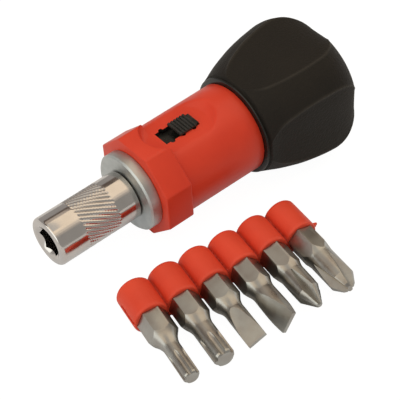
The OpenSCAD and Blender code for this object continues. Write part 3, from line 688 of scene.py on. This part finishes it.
# The bit strip: soft red rubber, moulded as six round-topped pockets side by side on a thin web.
# Each pocket grips one bit, and a hook at the right end meets a groove at the left.
strip_place = tip + Vector((0.00898, -0.01883, 0))
strip_place.z = 0
strip_turn = math.radians(-3.8)
strip_pitch = 0.00817
pocket_len = 0.0089
pocket_floor = 0.0029
pocket_h = 0.0082
pocket_r = pocket_h / 2 + 0.00015
bit_z = pocket_h - pocket_r
bit_lean = -7.9
bit_fan = 0.86
af = 0.00635
shank_corner_r = af / 2 / math.cos(math.radians(30))
hole_corner_r = shank_corner_r + 0.00006
bit_turn = (8, 14, 18, 20, 17, 50)


def pocket_frame(number):
    """The place of a pocket: +X out of its mouth, +Z up, with the origin in the middle of its back."""
    at = Matrix.Translation(strip_place) @ Matrix.Rotation(strip_turn, 4, "Z")
    at = at @ Matrix.Translation((number * strip_pitch, 0, bit_z))
    return at @ Matrix.Rotation(math.radians(bit_lean + number * bit_fan - 90), 4, "Z")


def pocket(number):
    """One pocket in its place: a round bar with a flat underside and a soft lip at its mouth."""
    piece = turned("pocket", [
        (0, pocket_r - 0.0007), (0.00008, pocket_r - 0.0004), (0.00025, pocket_r - 0.0002),
        (0.0006, pocket_r), (pocket_len - 0.0003, pocket_r), (pocket_len, pocket_r - 0.00002),
        (pocket_len + 0.0003, pocket_r - 0.00012), (pocket_len + 0.00052, pocket_r - 0.0003),
    ], sides=64)
    bpy.ops.object.mode_set(mode="EDIT")
    bpy.ops.mesh.select_all(action="SELECT")
    bpy.ops.mesh.bisect(plane_co=(0, 0, -bit_z), plane_no=(0, 0, -1), clear_outer=True, use_fill=True)
    bpy.ops.object.mode_set(mode="OBJECT")
    put(piece, pocket_frame(number))
    return piece


strip = pocket(0)
strip.name = "rubber_strip"
for number in range(1, 6):
    work(strip, pocket(number), "UNION")
web_inset = 0.001
web_h = 0.0036
web = block(
    "web", (2.5 * strip_pitch, -pocket_len / 2, web_h / 2),
    (5 * strip_pitch, pocket_len - 1.5 * web_inset, web_h),
)
for vertex in web.data.vertices:
    if vertex.co.y < -pocket_len / 2:
        lean = bit_lean + (5 * bit_fan if vertex.co.x > 0.01 else 0)
        vertex.co.x += (pocket_len - web_inset) * math.sin(math.radians(lean))
put(web, Matrix.Translation(strip_place) @ Matrix.Rotation(strip_turn, 4, "Z"))
work(strip, web, "UNION")
hook_base = 0.0015
hook_reach = 0.0015
hook_h = 0.0011
hook_z = 0.0004
hook = block(
    "hook", (pocket_len - hook_base / 2, pocket_r - 0.0004 + hook_reach / 2, hook_z),
    (hook_base, hook_reach, hook_h),
)
for vertex in hook.data.vertices:
    if vertex.co.y > pocket_r:
        vertex.co.x = pocket_len - 0.0007 + (vertex.co.x - pocket_len) * 0.25
        vertex.co.z = 0.0007 + (vertex.co.z - hook_z) * 0.6
put(hook, pocket_frame(5))
work(strip, hook, "UNION")
step = strip.modifiers.new("soft_rubber", "REMESH")
step.mode = "VOXEL"
step.voxel_size = 0.00021
bpy.context.view_layer.objects.active = strip
bpy.ops.object.modifier_apply(modifier=step.name)
groove = block("groove", (pocket_len * 0.68, -pocket_r, 0.0002), (pocket_len * 0.7, 0.0011, 0.0007))
put(groove, pocket_frame(0))
work(strip, groove)
for number in range(6):
    hole = turned("hole", [(pocket_floor, hole_corner_r), (pocket_len + 0.001, hole_corner_r)], sides=6)
    put(hole, pocket_frame(number) @ Matrix.Rotation(math.radians(bit_turn[number]), 4, "X"))
    work(strip, hole)
break_edges(strip, 0)
# Painted shade: the sides of each pocket that face a neighbour are drawn darker red towards the valley
# between them.
valley_shade_from = 0.0036
valley_shade_fade = 0.0006
valley_shade = strip.data.attributes.new("valley_shade", "FLOAT", "POINT")
to_pockets = [pocket_frame(number).inverted() for number in range(6)]
for vertex in strip.data.vertices:
    near = sorted(((to_pocket @ vertex.co) for to_pocket in to_pockets), key=lambda at: abs(at.y))
    inner = abs(near[1].y) < 0.006 and near[0].z > -0.0005
    depth = min(1, max(0, (abs(near[0].y) - valley_shade_from) / valley_shade_fade))
    valley_shade.data[vertex.index].value = depth if inner else 0
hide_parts("bit_strip")
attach(strip, "strip")
red_rubber = finish(
    "soft_red_rubber", (0.80, 0.074, 0.032), (0.74, 0.064, 0.028), 150, (0.42, 0.5), shine=0.35,
    grain=5000, grain_depth=0.00002,
)
# Darkens the red rubber in the valleys between the pockets: a painted shade.
tint_by(red_rubber, "valley_shade", (0.34, 0.022, 0.014))
strip.data.materials.clear()
strip.data.materials.append(red_rubber)


# The bits: six pieces of quarter-inch hex bar, turned down to a neck in one smooth sweep, with the
# working end milled and then blasted to a warm grey. Two are stars, two are slotted, two crosses.
bit_len = 0.025
hex_len = 0.0129
sweep_steps = 14


def shank(name, neck, neck_len, turn):
    """The hex end of a bit and the neck that it is turned down to, drawn along +X."""
    neck_from = hex_len - 0.0011
    clear_r = shank_corner_r + 0.0001
    bar = turned(name, [(0, shank_corner_r), (neck_from + neck_len + 0.0001, shank_corner_r)], sides=6)
    put(bar, Matrix.Rotation(math.radians(turn), 4, "X"))
    sweep = []
    for k in range(sweep_steps + 1):
        t = k / sweep_steps
        sweep.append((neck_from + neck_len * t, neck + (shank_corner_r - neck) * (1 - t) ** 1.9 + 0.00002))
    work(bar, turned("turned_ends", [
        (0, af / 2 - 0.0001), (af / 8, clear_r), (neck_from - 0.0002, clear_r), *sweep,
    ], sides=96), "INTERSECT")
    return bar


def star_bit(name, r, neck_len, flute_len, turn, flute_turn):
    """A star bit: a round end with six flutes milled along it."""
    flute_from = bit_len - flute_len
    bit = shank(name, r, neck_len, turn)
    end = turned("star", [
        (hex_len + neck_len - 0.0025, r * 0.97), (hex_len + neck_len - 0.0017, r * 1.012),
        (bit_len - 0.3 * r, r * 1.012), (bit_len - 0.12 * r, r * 0.93), (bit_len, r * 0.78),
    ], sides=96)
    for k in range(6):
        flute = turned("flute", [
            (flute_from - 0.0011, 0.08 * r), (flute_from - 0.0004, 0.22 * r),
            (flute_from + 0.0003, 0.31 * r), (flute_from + 0.0012, 0.34 * r), (bit_len + 0.001, 0.34 * r),
        ], sides=32)
        round_bit = Matrix.Rotation(math.radians(60 * k + flute_turn), 4, "X")
        put(flute, round_bit @ Matrix.Translation((0, 1.12 * r, 0)))
        work(end, flute)
    work(bit, end, "UNION")
    return bit


def slotted_bit(name, neck, neck_len, blade_w, blade_t, turn, blade_turn):
    """A slotted bit: a flared end milled to a blade from two sides."""
    blade_len = bit_len * 0.36
    slope = math.atan2(neck - blade_t / 2, bit_len - hex_len - neck_len + 0.0008)
    bit = shank(name, neck, neck_len, turn)
    blade = turned("blade", [
        (hex_len + neck_len - 0.0025, neck * 0.98), (bit_len - blade_len, neck * 1.012),
        (bit_len - blade_len / 3, blade_w / 2 + 0.0001), (bit_len, blade_w / 2 + 0.0001),
    ], sides=96)
    work(blade, block("blade_sides", (bit_len / 2, 0, 0), (bit_len * 1.2, blade_w, 0.02)), "INTERSECT")
    for side in (-1, 1):
        milled = block("milled", (-0.005, 0, side * 0.01), (0.04, 0.02, 0.02))
        tip_place = Matrix.Translation((bit_len, 0, side * blade_t / 2))
        put(milled, tip_place @ Matrix.Rotation(side * slope, 4, "Y"))
        work(blade, milled)
    put(blade, Matrix.Rotation(math.radians(blade_turn), 4, "X"))
    work(bit, blade, "UNION")
    return bit


def cross_bit(name, neck, neck_len, cone_len, tip_r, flute_w, rise, turn, rib_turn):
    """A cross bit: a coned end with four square flutes that leave four ribs."""
    bit = shank(name, neck, neck_len, turn)
    end = turned("cross", [
        (hex_len + neck_len - 0.0025, neck * 0.98), (hex_len + neck_len - 0.0017, neck * 1.012),
        (bit_len - cone_len, neck * 1.012), (bit_len - tip_r / 3, tip_r), (bit_len, tip_r * 0.6),
    ], sides=96)
    for k in range(4):
        flute = block("flute", (-bit_len * 0.1, af / 2, af / 2), (bit_len, af, af))
        place = Matrix.Rotation(math.radians(rib_turn + 90 * k + 45), 4, "X")
        place = place @ Matrix.Translation((bit_len, flute_w * 0.5, 0))
        place = place @ Matrix.Rotation(math.radians(-rise), 4, "Z")
        place = place @ Matrix.Rotation(math.radians(-45), 4, "X")
        put(flute, place)
        work(end, flute)
    work(bit, end, "UNION")
    return bit


bits = [
    star_bit("star_bit_6", af * 0.3, 0.0043, bit_len * 0.25, bit_turn[0], 46),
    star_bit("star_bit_8", af * 0.385, 0.0039, bit_len * 0.23, bit_turn[1], 43),
    slotted_bit("slotted_bit_5", af * 0.365, 0.0036, af * 0.74, af * 0.13, bit_turn[2], 28),
    slotted_bit("slotted_bit_6", af * 0.43, 0.0032, af * 0.88, af * 0.14, bit_turn[3], 65),
    cross_bit("cross_bit_sharp", af * 0.46, 0.0030, 0.0042, 0.0008, af * 0.12, 13, bit_turn[4], 60),
    cross_bit("cross_bit_blunt", af * 0.485, 0.0030, 0.0030, 0.0017, af * 0.16, 15, bit_turn[5], 29),
]
packed_bits = [
    "star_bit_small", "star_bit_large", "slotted_bit_narrow",
    "slotted_bit_wide", "cross_bit_pointed", "cross_bit_ribbed",
]
bit_steel = finish(
    "blasted_bit_steel", (0.43, 0.44, 0.42), (0.34, 0.32, 0.295), 260, (0.27, 0.34), metal=1.0
)
for number, (bit, node) in enumerate(zip(bits, packed_bits)):
    break_edges(bit, 0.0001, angle=30, smooth=13)
    put(bit, pocket_frame(number) @ Matrix.Translation((pocket_floor + 0.0001, 0, 0)))
    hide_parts(node)
    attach(bit, "bit_%d" % (number + 1))
    bit.data.materials.clear()
    bit.data.materials.append(bit_steel)


# The works inside the tool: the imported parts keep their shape, and each gets its maker's finish,
# from the oil-dark ratchet wheel and pawls to the bronze washers and the black mouldings.
turned_steel = finish("turned_steel", (0.62, 0.62, 0.62), (0.5, 0.5, 0.5), 900, (0.2, 0.34), metal=1.0)
hard_steel = finish("oil_dark_steel", (0.26, 0.25, 0.25), (0.15, 0.15, 0.15), 700, (0.25, 0.42), metal=1.0)
spring_steel = finish(
    "blued_spring_steel", (0.30, 0.31, 0.36), (0.20, 0.21, 0.26), 900, (0.2, 0.32), metal=1.0
)
bronze = finish("oiled_bronze", (0.55, 0.36, 0.17), (0.42, 0.26, 0.12), 900, (0.3, 0.45), metal=1.0)
nickel = finish("nickel_plate", (0.66, 0.63, 0.58), (0.52, 0.50, 0.47), 900, (0.12, 0.22), metal=1.0)
works = {
    "socket_magnet": nickel,
    "drive_spindle": turned_steel,
    "ratchet_gear": hard_steel,
    "spacer_sleeve": bronze,
    "spindle_clip": spring_steel,
    "thrust_washer": bronze,
    "bearing_bulkhead": black_plastic,
    "bulkhead_screws": turned_steel,
    "pawl_pins": turned_steel,
    "pawl_springs": spring_steel,
    "pawl_forward": hard_steel,
    "pawl_reverse": hard_steel,
    "chamber_cover": black_plastic,
    "cap_o_ring": black_rubber,
    "cap_liner": black_plastic,
}
for node, surface in works.items():
    for held in frame["nodes"][node].material_slots:
        held.material = surface
